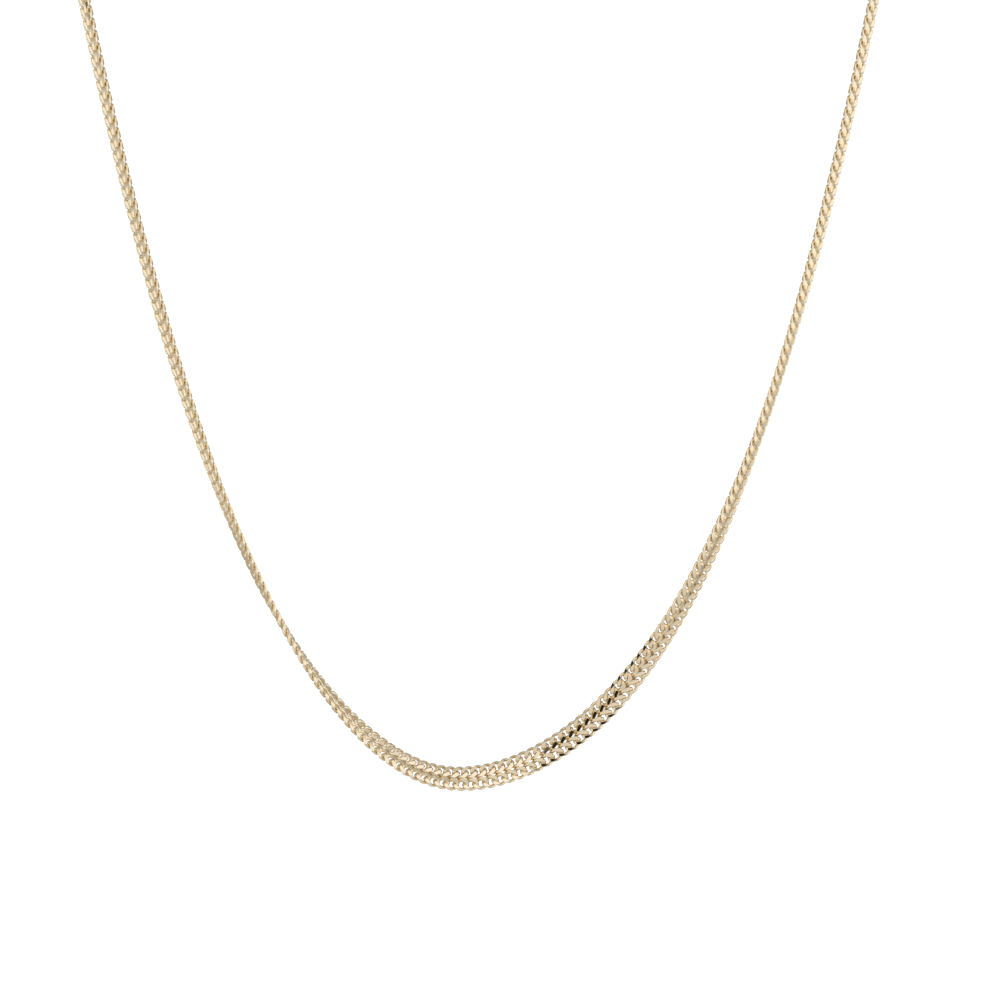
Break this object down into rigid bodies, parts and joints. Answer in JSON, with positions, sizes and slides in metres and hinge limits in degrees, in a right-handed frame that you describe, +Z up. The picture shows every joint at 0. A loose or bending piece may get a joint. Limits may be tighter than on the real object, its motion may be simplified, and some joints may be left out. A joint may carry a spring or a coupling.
{
  "type": "double-row flat link chain necklace",
  "caption": "Slim flat gold neck chain, two mirrored rows of interlocked links that read as a herringbone, closed at the nape by a clasp between two jump rings.",
  "frame": {"origin": "back of the neck, where the middle of the clasp rests on the skin", "axes": "+Z up, -Y towards the front of the wearer and the viewer, +X to the viewer's right"},
  "size_m": [0.0969, 0.091, 0.1418],
  "materials": {
    "chain_gold": "polished facets",
    "fitting_gold": "polished"
  },
  "bodies": {
    "root": {"chain": "chain_gold", "end_cap_left": "fitting_gold", "end_cap_right": "fitting_gold", "ring_left": "fitting_gold", "ring_right": "fitting_gold", "clasp": "fitting_gold"}
  },
  "joints": []
}
